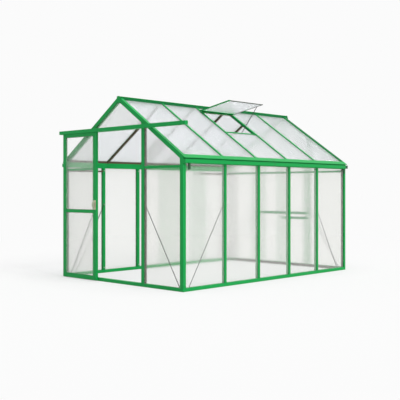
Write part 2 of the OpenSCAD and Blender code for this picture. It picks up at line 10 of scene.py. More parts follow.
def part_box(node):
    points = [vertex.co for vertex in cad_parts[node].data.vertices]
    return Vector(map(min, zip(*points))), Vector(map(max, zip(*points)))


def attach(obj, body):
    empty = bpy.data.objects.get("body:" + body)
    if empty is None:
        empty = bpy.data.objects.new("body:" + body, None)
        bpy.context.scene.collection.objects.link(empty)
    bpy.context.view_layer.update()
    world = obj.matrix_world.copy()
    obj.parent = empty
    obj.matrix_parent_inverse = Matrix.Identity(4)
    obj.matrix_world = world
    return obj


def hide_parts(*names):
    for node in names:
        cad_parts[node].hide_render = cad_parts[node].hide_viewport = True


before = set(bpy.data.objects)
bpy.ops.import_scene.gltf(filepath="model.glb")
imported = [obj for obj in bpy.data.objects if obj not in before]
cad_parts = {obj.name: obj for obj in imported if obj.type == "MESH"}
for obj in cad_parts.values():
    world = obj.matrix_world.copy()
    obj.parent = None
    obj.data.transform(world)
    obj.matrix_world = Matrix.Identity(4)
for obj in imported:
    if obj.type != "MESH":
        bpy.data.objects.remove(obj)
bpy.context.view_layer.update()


# ---- Studio -----------------------------------------------------------------------------------
# A pale seamless floor under an even white sky, one broad soft light overhead and a weaker one
# low on the right. The camera stands a little above door-handle height, off the front right corner.

MM = 0.001
CAMERA_AT = (6.6315, -7.1370, 1.083)
CAMERA_TURN = math.radians(43.77)
LENS_MM = 67.17
HORIZON_SHIFT = -0.0252
BACKDROP_WHITE = 0.965
SKY_LIGHT = 0.27
FLOOR_GREY = 0.75
FLOOR_GLOW = 0.44
GLOW_FROM = 2.5
GLOW_TO = 8.0
FLOOR_REACH = 60.0
FLOOR_DROP = 0.5 * MM


class Wire:
    """One value in a node tree. Each operator between wires or numbers adds the Math node it needs."""

    def __init__(self, graph, socket):
        self.graph = graph
        self.socket = socket

    def maths(self, operation, *values):
        """Adds a Math node."""
        return self.graph.node("ShaderNodeMath", {"operation": operation}, values)

    def __add__(self, other):
        return self.maths("ADD", self, other)

    def __radd__(self, other):
        return self.maths("ADD", other, self)

    def __sub__(self, other):
        return self.maths("SUBTRACT", self, other)

    def __rsub__(self, other):
        return self.maths("SUBTRACT", other, self)

    def __mul__(self, other):
        return self.maths("MULTIPLY", self, other)

    def __rmul__(self, other):
        return self.maths("MULTIPLY", other, self)

    def __or__(self, other):
        return self.maths("MAXIMUM", self, other)

    def __ror__(self, other):
        return self.maths("MAXIMUM", other, self)


class Graph:
    """A node tree being built, node by node."""

    def __init__(self, tree):
        self.tree = tree

    def node(self, kind, settings=None, sockets=(), output=0):
        """Adds a node: its settings first, then each socket's value or wire, by place or by name."""
        made = self.tree.nodes.new(kind)
        for name, value in (settings or {}).items():
            setattr(made, name, value)
        given = sockets.items() if isinstance(sockets, dict) else enumerate(sockets)
        for key, value in given:
            if isinstance(value, Wire):
                self.tree.links.new(value.socket, made.inputs[key])
            else:
                made.inputs[key].default_value = value
        return Wire(self, made.outputs[output]) if made.outputs else None


class Finish(Graph):
    """A material being built."""

    def __init__(self, name):
        self.material = bpy.data.materials.new(name)
        self.material.use_nodes = True
        super().__init__(self.material.node_tree)
        self.tree.nodes.clear()

    def place(self):
        """The place on the object, in metres."""
        return self.node("ShaderNodeTexCoord", output="Object")

    def noise(self, scale, detail=2.0):
        """Smooth noise over the object, from 0 to 1."""
        return self.node("ShaderNodeTexNoise", sockets={"Vector": self.place(), "Scale": scale, "Detail": detail})

    def between(self, share, low, high):
        """A colour from low to high, by share."""
        return self.node("ShaderNodeMix", {"data_type": "RGBA"}, {0: share, 6: low, 7: high}, output=2)

    def done(self, surface):
        """The material, ended with its surface."""
        self.node("ShaderNodeOutputMaterial", sockets={"Surface": surface})
        return self.material


scene = bpy.context.scene
scene.view_settings.view_transform = "Standard"

camera = bpy.data.objects.new("camera", bpy.data.cameras.new("camera"))
camera.location = CAMERA_AT
camera.rotation_euler = (math.pi / 2, 0, CAMERA_TURN)
camera.data.lens = LENS_MM
camera.data.shift_y = HORIZON_SHIFT
scene.collection.objects.link(camera)
scene.camera = camera


def seen(graph):
    """Tells the rays that end in the picture: straight ones, mirrored ones and those through glass."""
    straight = graph.node("ShaderNodeLightPath", output="Is Camera Ray")
    mirrored = graph.node("ShaderNodeLightPath", output="Is Glossy Ray")
    through = graph.node("ShaderNodeLightPath", output="Is Transmission Ray")
    return straight | mirrored | through


sky = bpy.data.worlds.new("studio_sky")
scene.world = sky
sky.use_nodes = True
sky.node_tree.nodes.clear()
air = Graph(sky.node_tree)
strength = air.node("ShaderNodeMix", sockets={0: seen(air), 2: SKY_LIGHT, 3: BACKDROP_WHITE})
glow = air.node("ShaderNodeBackground", sockets={"Color": (1, 1, 1, 1), "Strength": strength})
air.node("ShaderNodeOutputWorld", sockets={"Surface": glow})


def soft_light(name, energy, angle, towards):
    """A broad lamp far away, which shines along a direction."""
    lamp = bpy.data.objects.new(name, bpy.data.lights.new(name, "SUN"))
    lamp.data.energy = energy
    lamp.data.angle = math.radians(angle)
    lamp.rotation_euler = Vector(towards).to_track_quat("-Z", "Y").to_euler()
    scene.collection.objects.link(lamp)


soft_light("overhead_light", energy=2.3, angle=50, towards=(-0.15, 0.05, -1.0))
soft_light("right_light", energy=1.62, angle=25, towards=(-0.80, 0.0, -0.60))

floor_mesh = bmesh.new()
bmesh.ops.create_grid(floor_mesh, x_segments=1, y_segments=1, size=FLOOR_REACH)
floor = bpy.data.objects.new("floor", bpy.data.meshes.new("floor"))
floor_mesh.to_mesh(floor.data)
floor_mesh.free()
floor.location.z = -FLOOR_DROP
scene.collection.objects.link(floor)

paper = Finish("studio_floor")
distance = paper.node("ShaderNodeVectorMath", {"operation": "LENGTH"}, (paper.place(),), output="Value")
glow_share = paper.node("ShaderNodeMapRange", {"interpolation_type": "SMOOTHSTEP"}, (
    distance, GLOW_FROM, GLOW_TO, FLOOR_GLOW, 1,
))
matt = paper.node("ShaderNodeBsdfDiffuse", sockets={"Color": (FLOOR_GREY, FLOOR_GREY, FLOOR_GREY, 1)})
lit = paper.node("ShaderNodeEmission", sockets={"Color": (1, 1, 1, 1), "Strength": BACKDROP_WHITE})
backdrop = paper.node("ShaderNodeMixShader", sockets=(glow_share * seen(paper), matt, lit))
floor.data.materials.append(paper.done(backdrop))


# ---- Coated bars ------------------------------------------------------------------------------
# The bars are extruded aluminium with small radii on their edges, under a thin, faintly pebbled
# coat: green outside, brown on much of the inside. A darker copy of the green coat is painted shade,
# on the lower band of the ridge, the upward faces of the rear rafters and the undersides of the right
# roof bars. Each gutter and head beam is two lengths that meet over a rubber seal, and each gutter
# ends at the rear in a dark plastic cap.

COAT_GREEN = (0.006, 0.345, 0.072, 1)
COAT_GREEN_DEEP = (0.005, 0.310, 0.062, 1)
# Painted shade: a darker copy of the green coat, for faces that are to look as if they lie in shade.
COAT_PAINTED_SHADE = (0.006, 0.170, 0.045, 1)
COAT_PAINTED_SHADE_DEEP = (0.005, 0.140, 0.038, 1)
COAT_BROWN = (0.105, 0.085, 0.052, 1)
COAT_BROWN_DEEP = (0.080, 0.063, 0.038, 1)
EDGE_RADIUS = 1.4 * MM
BROWN_ABOVE = 1.430
JOINT_AT = -0.032
JOINT_WIDTH = 7.0 * MM
CAP_LENGTH = 50.0 * MM
RIDGE_UNSHADED_TOP = 14.0 * MM
STUD_BACK = 8.0 * MM
ROOF_ANGLE = math.radians(34.2)
SHARP_EDGE = math.radians(30)
FLAT_WITHIN = math.radians(0.5)
WELD_WITHIN = 1e-6
STRAIGHT = 0.7
UPWARD = 0.5
ALL_GREEN = (
    "base_front", "base_left", "base_right", "ridge_plates", "front_rafters", "door_header", "front_rails",
    "rear_posts", "rear_middle_bar", "rear_rails", "rear_low_rail", "door_track",
)
X, Y, Z = (Vector(way) for way in Matrix.Identity(3))


def powder_coat(name, light, deep):
    """Powder coat: two close shades in slow clouds, with a fine pebbled skin."""
    coat = Finish(name)
    clouds = coat.noise(scale=3.0)
    pebbles = coat.noise(scale=700.0, detail=1.0)
    skin = coat.node("ShaderNodeBump", sockets={"Strength": 0.12, "Distance": 0.2 * MM, "Height": pebbles})
    return coat.done(coat.node("ShaderNodeBsdfPrincipled", sockets={
        "Base Color": coat.between(clouds, deep, light),
        "Roughness": 0.36 + 0.10 * clouds,
        "Specular IOR Level": 0.16,
        "Normal": skin,
    }))


def dimmed(colour, share):
    """A colour at a share of its brightness."""
    return (*(share * part for part in colour[:3]), 1)


def moulded(name, colour, roughness):
    """Moulded plastic or rubber with a fine grain."""
    plastic = Finish(name)
    grain = plastic.noise(scale=900.0)
    clouds = plastic.noise(scale=40.0)
    skin = plastic.node("ShaderNodeBump", sockets={"Strength": 0.2, "Distance": 0.2 * MM, "Height": grain})
    return plastic.done(plastic.node("ShaderNodeBsdfPrincipled", sockets={
        "Base Color": plastic.between(clouds, dimmed(colour, 0.9), colour),
        "Roughness": roughness + 0.1 * clouds,
        "Normal": skin,
    }))


green_coat = powder_coat("green_powder_coat", COAT_GREEN, COAT_GREEN_DEEP)
# The darker green coat is painted shade, not a second paint.
painted_shade_coat = powder_coat("dark_green_powder_coat", COAT_PAINTED_SHADE, COAT_PAINTED_SHADE_DEEP)
brown_coat = powder_coat("brown_powder_coat", COAT_BROWN, COAT_BROWN_DEEP)
rubber = moulded("seal_rubber", colour=(0.045, 0.045, 0.045, 1), roughness=0.6)
dark_plastic = moulded("spout_plastic", colour=(0.004, 0.08, 0.024, 1), roughness=0.5)
GREEN, PAINTED_SHADE, BROWN, SEAL, CAP = range(5)


def plain_mesh(piece):
    """Turns what a piece's modifiers show into its own mesh."""
    scene.collection.objects.link(piece)
    shown = piece.evaluated_get(bpy.context.evaluated_depsgraph_get())
    mesh = bpy.data.meshes.new_from_object(shown)
    piece.modifiers.clear()
    piece.data = mesh
    return piece


def rounded(name, shape, radius):
    """A piece made of a shape, with its edges rounded."""
    mesh = bpy.data.meshes.new(name)
    shape.to_mesh(mesh)
    shape.free()
    piece = bpy.data.objects.new(name, mesh)
    bevel = piece.modifiers.new("edges", "BEVEL")
    bevel.width = radius
    bevel.segments = 2
    bevel.limit_method = "ANGLE"
    bevel.angle_limit = SHARP_EDGE
    bevel.use_clamp_overlap = True
    return plain_mesh(piece)


def merged(node):
    """A CAD node's shape, with its loose triangles joined into whole faces."""
    shape = bmesh.new()
    shape.from_mesh(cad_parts[node].data)
    bmesh.ops.remove_doubles(shape, verts=shape.verts, dist=WELD_WITHIN)
    bmesh.ops.dissolve_limit(shape, angle_limit=FLAT_WITHIN, verts=shape.verts, edges=shape.edges)
    return shape


def rounded_copy(node, radius, *cuts):
    """A copy of a CAD node whose edges are rounded, with its faces split where planes cut them."""
    shape = merged(node)
    for place, way in cuts:
        parts = shape.verts[:] + shape.edges[:] + shape.faces[:]
        bmesh.ops.bisect_plane(shape, geom=parts, dist=WELD_WITHIN, plane_co=place, plane_no=way)
    return rounded(node + "_bar", shape, radius)


def block(shape, low, high, shade=0, turn=Matrix.Identity(4)):
    """Adds a bar to a shape, from its low to its high corner, of one of the piece's shades."""
    low = Vector(low)
    high = Vector(high)
    size = Matrix.Diagonal((*(high - low), 1))
    made = bmesh.ops.create_cube(shape, size=1, matrix=turn @ Matrix.Translation((low + high) / 2) @ size)
    for corner in made["verts"]:
        for face in corner.link_faces:
            face.material_index = shade


def put(piece, node, body, slot, *finishes):
    """Gives a finished piece its finishes, and puts it in its node's place."""
    for finish in finishes:
        piece.data.materials.append(finish)
    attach(piece, body)
    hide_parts(node)


def coat(bar, node, shade=lambda face: GREEN):
    """Finishes a bar of the house: shade picks each face's coat (one of them the painted-shade copy of the green
    coat), or its rubber seal or plastic cap.
    """
    for face in bar.data.polygons:
        face.material_index = shade(face)
    put(bar, node, "house", "frame", green_coat, painted_shade_coat, brown_coat, rubber, dark_plastic)


def finish_node(node, finish):
    """Gives a CAD node that stays as it is its finish."""
    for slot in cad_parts[node].material_slots:
        slot.material = finish


def across(way, place):
    """A plane across a direction, at a place along it."""
    return place * way, way


def looks(face, way):
    """Whether a face looks along a direction."""
    return face.normal.dot(way) > STRAIGHT


for node in ALL_GREEN:
    coat(rounded_copy(node, EDGE_RADIUS), node)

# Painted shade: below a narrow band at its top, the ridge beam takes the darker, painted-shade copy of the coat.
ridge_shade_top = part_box("ridge_beam")[1][2] - RIDGE_UNSHADED_TOP
coat(rounded_copy("ridge_beam", EDGE_RADIUS, across(Z, ridge_shade_top)), "ridge_beam",
     lambda face: GREEN if face.center.z > ridge_shade_top else PAINTED_SHADE)
# Painted shade: the upward faces of the rear rafters take the darker, painted-shade copy of the coat.
coat(rounded_copy("rear_rafters", EDGE_RADIUS), "rear_rafters",
     lambda face: PAINTED_SHADE if face.normal.z > UPWARD else GREEN)
coat(rounded_copy("ties_left", EDGE_RADIUS), "ties_left", lambda face: BROWN)

room_low = Vector((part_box("wall_sheets_left")[1][0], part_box("front_sheets")[1][1], 0))
room_high = Vector((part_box("wall_sheets_right")[0][0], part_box("rear_sheets")[0][1], 0))
room_middle = (room_low + room_high) / 2
room_cuts = [across(way, corner.dot(way)) for corner in (room_low, room_high) for way in (X, Y)]


def indoors(face, sense):
    """Whether a face inside the sheets looks along X or Y out of the house (1) or into it (-1)."""
    within = all(room_low.dot(way) < face.center.dot(way) < room_high.dot(way) for way in (X, Y))
    away = face.center - room_middle
    return within and any(looks(face, sense * math.copysign(1, away.dot(way)) * way) for way in (X, Y))


for node in ("corner_posts", "base_rear"):
    coat(rounded_copy(node, EDGE_RADIUS, *room_cuts), node, lambda face: BROWN if indoors(face, -1) else GREEN)
coat(rounded_copy("door_jambs", EDGE_RADIUS, *room_cuts), "door_jambs",
     lambda face: BROWN if indoors(face, 1) else GREEN)


def on_joint(face):
    """Whether a face is on the seal between the two lengths of a gutter and of its beam."""
    return abs(face.center.y - JOINT_AT) < JOINT_WIDTH / 2


joint_cuts = [across(Y, JOINT_AT + half * JOINT_WIDTH / 2) for half in (-1, 1)]
for side, out in (("left", -X), ("right", X)):
    gutter = "gutter_" + side
    cap_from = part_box(gutter)[1][1] - CAP_LENGTH
    coat(rounded_copy(gutter, EDGE_RADIUS / 2, across(Y, cap_from), *joint_cuts), gutter,
         lambda face: CAP if face.center.y > cap_from else SEAL if on_joint(face) else GREEN)

    beam = "head_beam_" + side
    coat(rounded_copy(beam, EDGE_RADIUS, across(Z, BROWN_ABOVE), *joint_cuts), beam,
         lambda face: SEAL if on_joint(face) else
         BROWN if looks(face, -out) and face.center.z > BROWN_ABOVE else GREEN)

    studs = "studs_" + side
    stud_shape = merged(studs)
    outer = max(corner.co.dot(out) for corner in stud_shape.verts)
    for corner in stud_shape.verts:
        if corner.co.dot(out) > outer - MM:
            corner.co -= STUD_BACK * out
    coat(rounded(studs + "_bar", stud_shape, EDGE_RADIUS), studs)

    bars = "roof_bars_" + side
    off_roof = math.sin(ROOF_ANGLE) * out + math.cos(ROOF_ANGLE) * Z
    under = min(off_roof.dot(corner.co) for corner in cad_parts["roof_sheets_" + side].data.vertices)
    # Under the sheets the left bars are brown, while the right bars' undersides are painted shade: the darker copy of
    # the green coat.
    coat(rounded_copy(bars, EDGE_RADIUS, across(off_roof, under)), bars,
         lambda face: GREEN if off_roof.dot(face.center) > under else BROWN if side == "left" else PAINTED_SHADE)

finish_node("spouts", dark_plastic)


# ---- Twin-wall sheets -------------------------------------------------------------------------
# The glazing is 6 mm polycarbonate: two thin skins held apart by ribs a few millimetres apart.
# It is clear but frosted, most of all on the roof, and its flutes smear what is behind sideways.

RIB_PITCH = 11.0 * MM
WALL_SMEAR = 0.10
GABLE_SMEAR = 0.15
ROOF_SMEAR = 0.35
WALL_FROST = 0.12
GABLE_FROST = 0.06
DOOR_FROST = 0.07
ROOF_FROST = 0.22
FROST_GLOW = 1 / 3
WALL_CLEAR = (0.925, 0.935, 0.945, 1)
ROOF_CLEAR = (0.985, 0.985, 0.985, 1)
WALL_TINT = ((0.952, 0.952, 0.936, 1), (0.936, 0.936, 0.920, 1))
GABLE_TINT = ((0.990, 0.985, 0.970, 1), (0.975, 0.970, 0.955, 1))
ROOF_TINT = ((0.945, 0.950, 0.975, 1), (0.925, 0.932, 0.960, 1))
DOOR_TINT = ((1.0, 1.0, 0.995, 1), (0.99, 0.99, 0.985, 1))


def twin_wall(name, way, smear, frost, let_through, tint, deep):
    """Frosted sheet whose ribs stand side by side along a direction, and smear what is behind that way."""
    sheet = Finish(name)
    place = sheet.node("ShaderNodeVectorMath", {"operation": "DOT_PRODUCT"}, (sheet.place(), way), "Value")
    phase = sheet.node("ShaderNodeMath", {"operation": "FRACT"}, (place * (1 / RIB_PITCH),))
    far_side = sheet.node("ShaderNodeNewGeometry", output="Backfacing")
    slope = (phase - 0.5) * (2 * smear) * (1 - 2 * far_side)
    lean = sheet.node("ShaderNodeVectorMath", {"operation": "SCALE"}, {0: way, "Scale": slope})
    facing = sheet.node("ShaderNodeNewGeometry", output="Normal")
    bent = sheet.node("ShaderNodeVectorMath", {"operation": "ADD"}, (facing, lean))
    normal = sheet.node("ShaderNodeVectorMath", {"operation": "NORMALIZE"}, (bent,))
    clouds = sheet.noise(scale=6.0)
    skin = sheet.node("ShaderNodeBsdfPrincipled", sockets={
        "Base Color": sheet.between(clouds, deep, tint),
        "Roughness": 0.05 + 0.04 * clouds,
        "IOR": 1.22,
        "Transmission Weight": 1 - frost,
        "Specular IOR Level": 0.35,
        "Normal": normal,
    })
    glow = sheet.node("ShaderNodeBsdfTranslucent", sockets={"Color": tint})
    frosted = sheet.node("ShaderNodeMixShader", sockets=(FROST_GLOW * frost, skin, glow))
    clear = sheet.node("ShaderNodeBsdfTransparent", sockets={"Color": let_through})
    shadow_ray = sheet.node("ShaderNodeLightPath", output="Is Shadow Ray")
    diffuse_ray = sheet.node("ShaderNodeLightPath", output="Is Diffuse Ray")
    unshaded = sheet.node("ShaderNodeMixShader", sockets=(shadow_ray, frosted, clear))
    return sheet.done(sheet.node("ShaderNodeMixShader", sockets=(diffuse_ray, unshaded, clear)))


side_glazing = twin_wall("side_sheet", Y, WALL_SMEAR, WALL_FROST, WALL_CLEAR, *WALL_TINT)
gable_glazing = twin_wall("gable_sheet", X, GABLE_SMEAR, GABLE_FROST, WALL_CLEAR, *GABLE_TINT)
door_glazing = twin_wall("door_sheet", X, GABLE_SMEAR, DOOR_FROST, WALL_CLEAR, *DOOR_TINT)
roof_glazing = twin_wall("roof_sheet", Y, ROOF_SMEAR, ROOF_FROST, ROOF_CLEAR, *ROOF_TINT)
GLAZED = {
    "wall_sheets_left": side_glazing,
    "wall_sheets_right": side_glazing,
    "front_sheets": gable_glazing,
    "rear_sheets": gable_glazing,
    "roof_sheets_left": roof_glazing,
    "roof_sheets_right": roof_glazing,
    "vent_sheet": roof_glazing,
    "door_sheets": door_glazing,
}
for node, glazing in GLAZED.items():
    finish_node(node, glazing)


# ---- Glazing beads ----------------------------------------------------------------------------
# A round rubber bead is pressed between each wall or door sheet and the bars that hold it, on the
# weather side, so that the sheet can't rattle and rain runs off.

BEAD_RADIUS = 2.2 * MM
SHEET_GRIP = 8.0 * MM
WEATHER_SIDES = {
    "house": {
        "wall_sheets_left": -X, "wall_sheets_right": X,
        "front_sheets": -Y, "rear_sheets": Y,
    },
    "door": {"door_sheets": -Y},
}


class Growth(Graph):
    """A Geometry Nodes tree being built, with named inputs for its sizes and its finish."""

    def __init__(self, name, sizes):
        super().__init__(bpy.data.node_groups.new(name, "GeometryNodeTree"))
        sockets = self.tree.interface
        sockets.new_socket("Geometry", in_out="INPUT", socket_type="NodeSocketGeometry")
        for size, kind in sizes.items():
            sockets.new_socket(size, in_out="INPUT", socket_type="NodeSocket" + kind)
        sockets.new_socket("Finish", in_out="INPUT", socket_type="NodeSocketMaterial")
        sockets.new_socket("Geometry", in_out="OUTPUT", socket_type="NodeSocketGeometry")

    def given(self, name):
        """One of the named inputs."""
        return self.node("NodeGroupInput", output=name)

    def done(self, geometry):
        """Ends the tree: what it makes becomes one plain mesh with its finish."""
        plain = self.node("GeometryNodeRealizeInstances", sockets=(geometry,))
        finished = self.node("GeometryNodeSetMaterial", sockets={"Geometry": plain, "Material": self.given("Finish")})
        self.node("NodeGroupOutput", sockets={"Geometry": finished})

    def grow(self, piece, values):
        """Turns a piece into the plain mesh that the tree makes of it."""
        grower = piece.modifiers.new(self.tree.name, "NODES")
        grower.node_group = self.tree
        for item in self.tree.interface.items_tree:
            if item.in_out == "INPUT" and item.name in values:
                grower[item.identifier] = values[item.name]
        return plain_mesh(piece)


bead_along = Growth("bead_along", {"Radius": "Float"})
bead_line = bead_along.node("GeometryNodeMeshToCurve", sockets=(bead_along.given("Geometry"),))
bead_ring = bead_along.node("GeometryNodeCurvePrimitiveCircle", sockets={
    "Resolution": 8, "Radius": bead_along.given("Radius"),
})
bead_along.done(bead_along.node("GeometryNodeCurveToMesh", sockets={"Curve": bead_line, "Profile Curve": bead_ring}))

for body, nodes in WEATHER_SIDES.items():
    outlines = bmesh.new()
    for node, out in nodes.items():
        skins = merged(node)
        hidden = [face for face in skins.faces if not looks(face, out)]
        bmesh.ops.delete(skins, geom=hidden, context="FACES")
        rims = bmesh.ops.inset_individual(skins, faces=skins.faces[:], thickness=SHEET_GRIP + BEAD_RADIUS)
        bmesh.ops.delete(skins, geom=rims["faces"], context="FACES")
        bmesh.ops.delete(skins, geom=skins.faces[:], context="FACES_ONLY")
        outline = bpy.data.meshes.new(node + "_outline")
        skins.to_mesh(outline)
        skins.free()
        outlines.from_mesh(outline)
    lines = bpy.data.meshes.new(body + "_bead_lines")
    outlines.to_mesh(lines)
    outlines.free()
    bead = bead_along.grow(bpy.data.objects.new(body + "_beads", lines), {"Radius": BEAD_RADIUS, "Finish": rubber})
    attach(bead, body)


# ---- Braces -----------------------------------------------------------------------------------
# Flat strips of bare aluminium, bolted across the end bays inside the sheets to keep the frame
# square, each with its foot on the base bar beside the corner. They are left dull, as rolled.

FOOT_BELOW = 0.3
BRACE_WIDER = 5.0 * MM
STRIP_EDGE = 0.4 * MM
SIDE_BRACE = {"along": Y, "foot_in": 107.0 * MM, "drop": 30.0 * MM}
GABLE_BRACE = {"along": X, "foot_in": 52.0 * MM, "drop": 60.0 * MM}
BRACES = {
    "braces_left": SIDE_BRACE, "braces_right": SIDE_BRACE,
    "braces_front": GABLE_BRACE, "braces_rear": GABLE_BRACE,
}


def rolled_metal(name, colour, roughness):
    """Bare rolled metal, a little uneven in shade and in sheen."""
    metal = Finish(name)
    clouds = metal.noise(scale=25.0, detail=4.0)
    return metal.done(metal.node("ShaderNodeBsdfPrincipled", sockets={
        "Base Color": metal.between(clouds, dimmed(colour, 0.85), colour),
        "Metallic": 0.6,
        "Roughness": roughness + 0.12 * clouds,
    }))


rolled_aluminium = rolled_metal("rolled_aluminium", colour=(0.010, 0.010, 0.009, 1), roughness=0.42)


def fitted(node, corner):
    """Where a corner of a brace stands: on a strip a little wider than the solid, its foot on the base bar."""
    brace = BRACES[node]
    lowest, highest = (end[2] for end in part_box(node))
    place = corner.copy()
    if place.z < FOOT_BELOW:
        outwards = math.copysign(1, (place - room_middle).dot(brace["along"])) * brace["along"]
        place -= brace["foot_in"] * outwards
        place.z += (BRACE_WIDER if corner.z > lowest + BRACE_WIDER else 0) - brace["drop"]
    elif place.z < highest - BRACE_WIDER:
        place.z -= BRACE_WIDER
    return place


for node in BRACES:
    strips = merged(node)
    for corner in strips.verts:
        corner.co = fitted(node, corner.co)
    put(rounded(node + "_strips", strips, STRIP_EDGE), node, "house", "brace", rolled_aluminium)


# ---- Roof vent --------------------------------------------------------------------------------
# A light hinged leaf over an opening between two roof bars, propped on a thin rod. Its hinge and
# left bars are coated green; its free edge and right bar are thin grey trim, with a corner plate.

LEAF_BAR = 24.0 * MM
LEAF_TRIM = 18.0 * MM
LEAF_DEPTH = 12.0 * MM
TRIM_DEPTH = 7.0 * MM
HEAD_RAIL_DEPTH = 8.0 * MM
SILL_FACE = (6.0 * MM, 16.0 * MM)
PLATE = (34.0 * MM, 22.0 * MM, 2.0 * MM)
TRIM_EDGE = 0.8 * MM
LEAF_SCREW_IN = 12 * MM


def solids(node):
    """The corners of each separate solid of a CAD node."""
    shape = merged(node)
    found = []
    known = set()
    for first in shape.verts:
        if first in known:
            continue
        known.add(first)
        solid = [first]
        for corner in solid:
            for edge in corner.link_edges:
                other = edge.other_vert(corner)
                if other not in known:
                    known.add(other)
                    solid.append(other)
        found.append([corner.co.copy() for corner in solid])
    shape.free()
    return found


def middle(corners):
    """The mean place of some corners."""
    return sum(corners, Vector()) / len(corners)


def span(corners, way):
    """How far back and how far on some corners reach along a direction."""
    reaches = [corner.dot(way) for corner in corners]
    return min(reaches), max(reaches)


def slanted(down, up, start):
    """A placing on a slope: X runs down it from the start, Y runs along it and Z stands off it."""
    return Matrix((
        (down.x, 0, up.x, start.x),
        (0, 1, 0, start.y),
        (down.z, 0, up.z, start.z),
        (0, 0, 0, 1),
    ))


grey_trim = rolled_metal("grey_trim", colour=(0.10, 0.115, 0.095, 1), roughness=0.42)
corners = sorted(solids("vent_sheet")[0], key=lambda corner: corner.x)
hinge_side = middle(corners[:4])
run = middle(corners[4:]) - hinge_side
down = run.normalized()
leaf_up = Vector((-down.z, 0, down.x))
on_leaf = slanted(down, leaf_up, hinge_side)
lap = LEAF_BAR - SHEET_GRIP
near = -lap
far = run.length + lap
front, rear = span(corners, Y)
aside = (rear - front) / 2 + lap
deep = LEAF_DEPTH / 2
thin = TRIM_DEPTH / 2
leaf = bmesh.new()
block(leaf, (near, -aside, -deep), (near + LEAF_BAR, aside, deep), 0, on_leaf)
block(leaf, (near + LEAF_BAR, -aside, -deep), (far, -aside + LEAF_BAR, deep), 0, on_leaf)
block(leaf, (near + LEAF_BAR, aside - LEAF_TRIM, -thin), (far, aside, thin), 1, on_leaf)
block(leaf, (far - LEAF_TRIM, -aside + LEAF_BAR, -thin), (far, aside - LEAF_TRIM, thin), 1, on_leaf)
block(leaf, (far - PLATE[0], aside - PLATE[1], thin), (far - MM, aside - MM, thin + PLATE[2]), 1, on_leaf)
bmesh.ops.create_cone(
    leaf, cap_ends=True, segments=24, radius1=deep, radius2=deep, depth=2 * aside,
    matrix=on_leaf @ Matrix.Translation((near, 0, 0)) @ Matrix.Rotation(math.pi / 2, 4, "X"),
)
put(rounded("vent_leaf_bars", leaf, TRIM_EDGE), "vent_frame", "house", "frame", green_coat, grey_trim)
finish_node("vent_stay", rolled_aluminium)
leaf_screws = [
    (on_leaf @ Vector((near + LEAF_SCREW_IN, half * (aside - LEAF_SCREW_IN), deep)), leaf_up) for half in (-1, 1)
]

slope = Vector((math.cos(ROOF_ANGLE), 0, -math.sin(ROOF_ANGLE)))
roof_up = Vector((math.sin(ROOF_ANGLE), 0, math.cos(ROOF_ANGLE)))
on_roof = slanted(slope, roof_up, Vector())
head_rail, sill = sorted(solids("vent_rails"), key=lambda rail: middle(rail).x)
rails = bmesh.new()
for rail in (head_rail, sill):
    upper, lower = span(rail, slope)
    front, rear = span(rail, Y)
    top = span(rail, roof_up)[1]
    if rail is head_rail:
        block(rails, (upper, front, top - HEAD_RAIL_DEPTH), (lower, rear, top), 0, on_roof)
    else:
        block(rails, (upper + SILL_FACE[0], front, top - LEAF_DEPTH), (upper + SILL_FACE[1], rear, top), 0, on_roof)
opening = (middle(head_rail).x + middle(sill).x) / 2
coat(rounded("vent_rail_bars", rails, TRIM_EDGE), "vent_rails",
     lambda face: BROWN if looks(face, slope) and face.center.x < opening else GREEN)


# ---- Sliding door -----------------------------------------------------------------------------
# Two stiles run the whole height of the leaf. Three rails butt against them, and stand back a hair
# so that each joint shows. The bars are the same coated aluminium as the frame's.

STILE = 55.0 * MM
TOP_RAIL = 41.0 * MM
MIDDLE_RAIL = 41.0 * MM
MIDDLE_RAIL_AT = 806.0 * MM
FOOT_RAIL = 53.0 * MM
RAIL_BACK = 1.2 * MM
JOINT = 0.5 * MM
UNDER_TRACK = 1.0 * MM

low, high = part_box("door_frame")
rail_low = low[0] + STILE + JOINT
rail_high = high[0] - STILE - JOINT
rail_front = low[1] + RAIL_BACK
high = Vector((high[0], high[1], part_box("door_track")[0][2] - UNDER_TRACK))
leaf = bmesh.new()
block(leaf, low, (low[0] + STILE, high[1], high[2]))
block(leaf, (high[0] - STILE, low[1], low[2]), high)
for foot, head in (
    (low[2], low[2] + FOOT_RAIL),
    (MIDDLE_RAIL_AT, MIDDLE_RAIL_AT + MIDDLE_RAIL),
    (high[2] - TOP_RAIL, high[2]),
):
    block(leaf, (rail_low, rail_front, foot), (rail_high, high[1], head))
put(rounded("door_leaf_bars", leaf, EDGE_RADIUS), "door_frame", "door", "frame", green_coat)


# ---- Door fittings ----------------------------------------------------------------------------
# The door hangs on two nylon wheels in the track, with a rubber stop near each end. The handle is
# a flat beige plate on the closing stile, with a wide bowed olive grip that stands off it.

PLATE_DEPTH = 5.0 * MM
GRIP_WIDTH = 38.0 * MM
GRIP_DEPTH = 7.0 * MM
GRIP_FROM_END = 10.0 * MM
GRIP_SUNK = 2.0 * MM
GRIP_FULLNESS = 0.45
GRIP_STEPS = 14
GRIP_EDGE = 1.8 * MM

finish_node("track_stops", moulded("stop_rubber", colour=(0.02, 0.02, 0.02, 1), roughness=0.7))
finish_node("door_hangers", moulded("wheel_nylon", colour=(0.08, 0.08, 0.08, 1), roughness=0.5))
handle_plastic = moulded("handle_plastic", colour=(0.46, 0.52, 0.35, 1), roughness=0.45)
plate_plastic = moulded("plate_plastic", colour=(0.72, 0.60, 0.47, 1), roughness=0.5)

